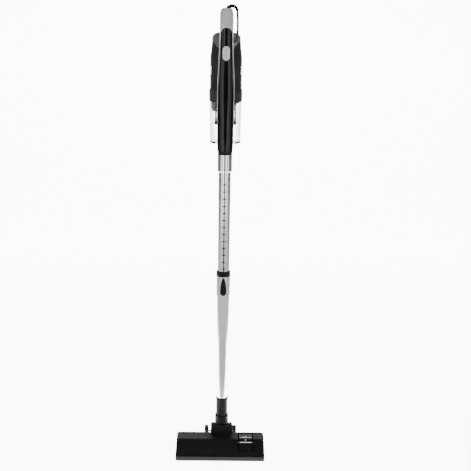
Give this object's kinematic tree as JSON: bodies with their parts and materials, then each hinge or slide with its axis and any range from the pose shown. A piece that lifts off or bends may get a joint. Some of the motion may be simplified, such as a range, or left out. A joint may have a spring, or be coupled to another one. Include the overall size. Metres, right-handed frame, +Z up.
{
  "type": "corded stick vacuum cleaner",
  "caption": "Corded stick vacuum: floor head with pedal and wheels, swivel elbow, telescopic chrome wand, hand-held motor unit with clear dust cup, cord and plug.",
  "frame": {"origin": "on the floor at the middle of the floor head's sole", "axes": "+Z up, -Y the front of the floor head, +X to the right seen from the front; the wand leans forward by 5 degrees as parked"},
  "size_m": [0.236, 0.1912, 1.1693],
  "materials": {
    "black_plastic": "fine-textured black ABS",
    "gloss_black": "piano-black ABS",
    "silver_plastic": "satin silver paint on ABS",
    "grey_plastic": "satin grey ABS",
    "housing_plastic": "satin dark grey-brown ABS",
    "smoky_plastic": "smoky green-grey polycarbonate",
    "clear_plastic": "clear polycarbonate",
    "chrome": "bright chrome plate on steel",
    "steel": "machined steel",
    "brass": "nickel-plated brass",
    "rubber": "matt black elastomer",
    "bristle": "nylon bristle",
    "red_felt": "red lint pile",
    "strap_fabric": "black woven strap",
    "filter_fabric": "white filter paper and foam"
  },
  "bodies": {
    "floor_head": {"base_plate": "black_plastic", "head_cover": "black_plastic", "front_bumper": "rubber", "lint_strips": "red_felt", "head_screws": "steel", "pedal_pin": "steel", "wheel_axle": "steel"},
    "pedal": {"pedal": "black_plastic"},
    "brush": {"brush_frame": "black_plastic", "brush_bristles": "bristle"},
    "wheel_left": {"wheel_left": "black_plastic", "tread_left": "rubber"},
    "wheel_right": {"wheel_right": "black_plastic", "tread_right": "rubber"},
    "elbow": {"elbow_barrel": "black_plastic", "barrel_end_caps": "black_plastic"},
    "lower_wand": {"swivel_ring": "black_plastic", "neck_socket": "black_plastic", "outer_tube": "chrome", "tube_collar": "chrome", "collar_ring": "black_plastic"},
    "tube_button": {"tube_button": "gloss_black"},
    "handheld": {"inner_tube": "chrome", "wand_sleeve": "chrome", "nozzle": "black_plastic", "nozzle_seal": "rubber", "handle_shell": "silver_plastic", "spine_cover": "gloss_black", "power_switch": "black_plastic", "motor_housing_left": "housing_plastic", "motor_housing_right": "housing_plastic", "top_cap": "grey_plastic", "exhaust_grille_left": "housing_plastic", "exhaust_grille_right": "housing_plastic", "exhaust_foam": "filter_fabric", "cup_collar": "smoky_plastic", "cup_seal": "rubber", "cyclone_skirt": "smoky_plastic", "mesh_stem": "grey_plastic", "stem_flange": "black_plastic", "cone_filter": "filter_fabric", "fan_cover": "black_plastic", "motor_bracket": "black_plastic", "motor_bearings": "steel", "motor_stator": "steel", "carbon_brushes": "brass", "brush_holder": "black_plastic", "cord_hooks": "black_plastic", "strain_relief": "rubber", "cord": "rubber", "cord_hank": "rubber", "cord_tie": "strap_fabric", "plug_body": "rubber", "plug_pins": "brass"},
    "power_button": {"power_button": "silver_plastic"},
    "dust_cup": {"dust_cup": "clear_plastic"},
    "cup_latch": {"cup_latch": "grey_plastic"},
    "rotor": {"fan_impeller": "black_plastic", "armature": "steel", "motor_shaft": "steel"}
  },
  "joints": [
    {"name": "wheel_left_roll", "type": "hinge", "parent": "floor_head", "child": "wheel_left", "pos_m": [-0.039, 0.105, 0.017], "axis": [1, 0, 0], "continuous": true},
    {"name": "wheel_right_roll", "type": "hinge", "parent": "floor_head", "child": "wheel_right", "pos_m": [0.039, 0.105, 0.017], "axis": [1, 0, 0], "continuous": true},
    {"name": "pedal_rock", "type": "hinge", "parent": "floor_head", "child": "pedal", "pos_m": [0.069, 0.009, 0.027], "axis": [1, 0, 0], "range_deg": [0, 6]},
    {"name": "brush_lift", "type": "slide", "parent": "floor_head", "child": "brush", "axis": [0, 0, 1], "range_m": [-0.0035, 0]},
    {"name": "elbow_pitch", "type": "hinge", "parent": "floor_head", "child": "elbow", "pos_m": [0.003, 0.073, 0.033], "axis": [1, 0, 0], "range_deg": [-75, 0]},
    {"name": "neck_swivel", "type": "hinge", "parent": "elbow", "child": "lower_wand", "pos_m": [0.003, 0.073, 0.033], "axis": [0, -0.0872, 0.9962], "range_deg": [-90, 90]},
    {"name": "wand_slide", "type": "slide", "parent": "lower_wand", "child": "handheld", "axis": [0, -0.0872, 0.9962], "range_m": [-0.2237, 0]},
    {"name": "tube_button_slide", "type": "slide", "parent": "lower_wand", "child": "tube_button", "axis": [0, -0.0872, 0.9962], "range_m": [-0.003, 0], "stiffness_N_per_m": 800, "springref_m": 0.001},
    {"name": "power_press", "type": "slide", "parent": "handheld", "child": "power_button", "axis": [0, 0.9962, 0.0872], "range_m": [0, 0.0015], "stiffness_N_per_m": 1200, "springref_m": -0.001},
    {"name": "cup_slide", "type": "slide", "parent": "handheld", "child": "dust_cup", "axis": [0, -0.0872, 0.9962], "range_m": [-0.08, 0]},
    {"name": "latch_press", "type": "slide", "parent": "handheld", "child": "cup_latch", "axis": [0, -0.9962, -0.0872], "range_m": [0, 0.0015], "stiffness_N_per_m": 900, "springref_m": -0.001},
    {"name": "motor_spin", "type": "hinge", "parent": "handheld", "child": "rotor", "pos_m": [0.003, 0.05048, 1.00172], "axis": [0, -0.0872, 0.9962], "continuous": true}
  ],
  "couplings": [
    {"joint": "brush_lift", "follows": "pedal_rock", "m_per_rad": -0.033423}
  ]
}
